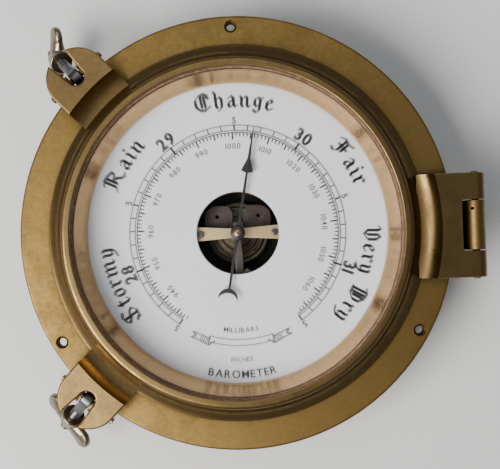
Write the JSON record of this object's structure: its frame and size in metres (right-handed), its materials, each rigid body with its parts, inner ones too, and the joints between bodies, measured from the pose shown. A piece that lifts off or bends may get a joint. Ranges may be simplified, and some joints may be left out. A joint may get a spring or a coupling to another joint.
{
  "type": "aneroid barometer",
  "caption": "Round brass-cased aneroid barometer with hinged glass door, swing-bolt clamps, dial, hand and lever movement",
  "frame": {"origin": "centre of the rear face of the back cover, on the dial's axis", "axes": "+Z out of the dial towards the viewer, +Y to the top of the dial (twelve o'clock), +X to the door hinge"},
  "size_m": [0.2125, 0.2, 0.05],
  "materials": {
    "case_brass": "satin, aged and lightly tarnished",
    "door_brass": "satin, aged, darker in the hollows",
    "bezel_brass": "polished",
    "movement_brass": "fine brushed",
    "nut_bronze": "dark cast bronze, dull",
    "steel": "plain, slightly dull",
    "capsule_metal": "nickel silver, satin",
    "dial_silvered": "silvered white, matt",
    "hand_black": "black, semi-gloss",
    "gasket_rubber": "matt, dark red-brown",
    "glass": "clear, polished"
  },
  "bodies": {
    "case": {"mounting_flange": "case_brass", "case_drum": "case_brass", "back_cover": "case_brass", "hinge_pin": "case_brass", "inner_bezel": "bezel_brass", "back_cover_screw_1": "movement_brass", "back_cover_screw_2": "movement_brass", "back_cover_screw_3": "movement_brass", "movement_plate": "movement_brass", "movement_screw_1": "movement_brass", "movement_screw_2": "movement_brass", "movement_screw_3": "movement_brass", "movement_spacer_1": "movement_brass", "movement_spacer_2": "movement_brass", "movement_spacer_3": "movement_brass", "dial_pillar_1": "movement_brass", "dial_pillar_2": "movement_brass", "dial_pillar_3": "movement_brass", "spring_bracket": "movement_brass", "shaft_frame": "movement_brass", "pointer_bridge": "movement_brass", "arbor_bearing_bar": "movement_brass", "bridge_pillar_1": "movement_brass", "bridge_pillar_2": "movement_brass", "bridge_spacer_1": "movement_brass", "bridge_spacer_2": "movement_brass", "dog_pin_upper": "nut_bronze", "dog_pin_lower": "nut_bronze", "main_spring": "steel", "frame_screw_1": "steel", "frame_screw_2": "steel", "bridge_screw_1": "steel", "bridge_screw_2": "steel", "hairspring": "steel", "chain": "steel", "vacuum_capsule": "capsule_metal", "dial_plate": "dial_silvered"},
    "door": {"door_ring": "door_brass", "clamp_ear_upper": "door_brass", "clamp_ear_lower": "door_brass", "door_glass": "glass", "glass_gasket": "gasket_rubber", "glass_retaining_ring": "door_brass"},
    "bolt_upper": {"swing_bolt_upper": "steel"},
    "bolt_lower": {"swing_bolt_lower": "steel"},
    "nut_upper": {"wing_nut_upper": "nut_bronze"},
    "nut_lower": {"wing_nut_lower": "nut_bronze"},
    "hand": {"pressure_hand": "hand_black", "hand_hub": "hand_black", "hand_collet": "movement_brass", "hand_arbor": "steel"},
    "shaft": {"rocking_shaft": "steel"},
    "lever": {"main_lever": "steel", "capsule_post": "movement_brass", "connecting_link": "steel"},
    "adjuster": {"adjusting_screw": "movement_brass"}
  },
  "joints": [
    {"name": "door_hinge", "type": "hinge", "parent": "case", "child": "door", "pos_m": [0.1082, 0, 0.0447], "axis": [0, 1, 0], "range_deg": [0, 170]},
    {"name": "swing_bolt_upper_pivot", "type": "hinge", "parent": "case", "child": "bolt_upper", "pos_m": [-0.07155, 0.07409, 0.0385], "axis": [0.7193, 0.6947, 0], "range_deg": [0, 135]},
    {"name": "wing_nut_upper_spin", "type": "hinge", "parent": "bolt_upper", "child": "nut_upper", "pos_m": [-0.0826, 0.08554, 0.02259], "axis": [-0.4912, 0.5086, -0.7071], "continuous": true},
    {"name": "swing_bolt_lower_pivot", "type": "hinge", "parent": "case", "child": "bolt_lower", "pos_m": [-0.07155, -0.07409, 0.0385], "axis": [-0.7193, 0.6947, 0], "range_deg": [0, 135]},
    {"name": "wing_nut_lower_spin", "type": "hinge", "parent": "bolt_lower", "child": "nut_lower", "pos_m": [-0.0826, -0.08554, 0.02259], "axis": [-0.4912, -0.5086, -0.7071], "continuous": true},
    {"name": "pressure_hand_turn", "type": "hinge", "parent": "case", "child": "hand", "pos_m": [0, 0, 0.0318], "axis": [0, 0, 1], "range_deg": [-137, 158]},
    {"name": "rocking_shaft_turn", "type": "hinge", "parent": "case", "child": "shaft", "pos_m": [0, -0.0225, 0.011], "axis": [1, 0, 0], "range_deg": [-10, 11.5], "deforming": ["chain"]},
    {"name": "main_lever_flex", "type": "hinge", "parent": "case", "child": "lever", "pos_m": [0, 0.004, 0.01865], "axis": [1, 0, 0], "range_deg": [-1.5, 1.5]},
    {"name": "adjusting_screw_turn", "type": "hinge", "parent": "case", "child": "adjuster", "pos_m": [0, 0.0225, 0.003], "axis": [0, 0, 1], "range_deg": [-360, 360]}
  ],
  "couplings": [
    {"joint": "rocking_shaft_turn", "follows": "pressure_hand_turn", "ratio": 0.0687},
    {"joint": "main_lever_flex", "follows": "pressure_hand_turn", "ratio": -0.0086}
  ]
}
